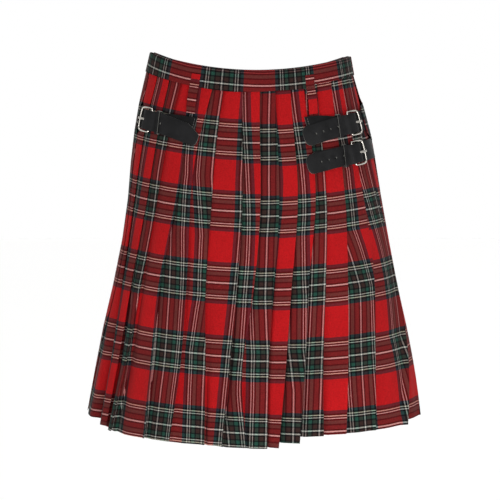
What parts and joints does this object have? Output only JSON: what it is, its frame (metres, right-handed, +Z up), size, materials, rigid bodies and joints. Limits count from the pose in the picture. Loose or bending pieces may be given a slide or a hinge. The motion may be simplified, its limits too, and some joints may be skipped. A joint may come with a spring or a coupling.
{
  "type": "worn scottish kilt, hollow, held at the waist",
  "caption": "Knee-length wrap skirt of tartan cloth with a knife-pleated back, flat front aprons, a waistband, belt loops and strap-and-buckle fastenings on both hips.",
  "frame": {"origin": "the middle of the waist's top edge, where the wearer's waist holds the kilt", "axes": "+Z up, the pleated back faces -Y, the aprons face +Y, +X is the wearer's right"},
  "size_m": [0.5601, 0.3635, 0.6252],
  "materials": {
    "tartan_cloth": "matt twill weave",
    "band_cloth": "matt twill weave",
    "loop_cloth": "matt twill weave",
    "strap_leather": "matt bridle leather",
    "tab_leather": "matt bridle leather",
    "nickel": "bright nickel plate"
  },
  "bodies": {
    "root": {"pleated_back": "tartan_cloth", "over_apron": "tartan_cloth", "under_apron": "tartan_cloth", "waistband_back": "band_cloth", "waistband_over": "band_cloth", "waistband_under": "band_cloth", "belt_loop_left": "loop_cloth", "belt_loop_right": "loop_cloth", "strap_left": "strap_leather", "tab_left": "tab_leather", "keeper_left": "strap_leather", "buckle_frame_left": "nickel", "prong_left": "nickel", "strap_right_upper": "strap_leather", "tab_right_upper": "tab_leather", "keeper_right_upper": "strap_leather", "buckle_frame_right_upper": "nickel", "prong_right_upper": "nickel", "strap_right_lower": "strap_leather", "tab_right_lower": "tab_leather", "keeper_right_lower": "strap_leather", "buckle_frame_right_lower": "nickel", "prong_right_lower": "nickel"}
  },
  "joints": []
}
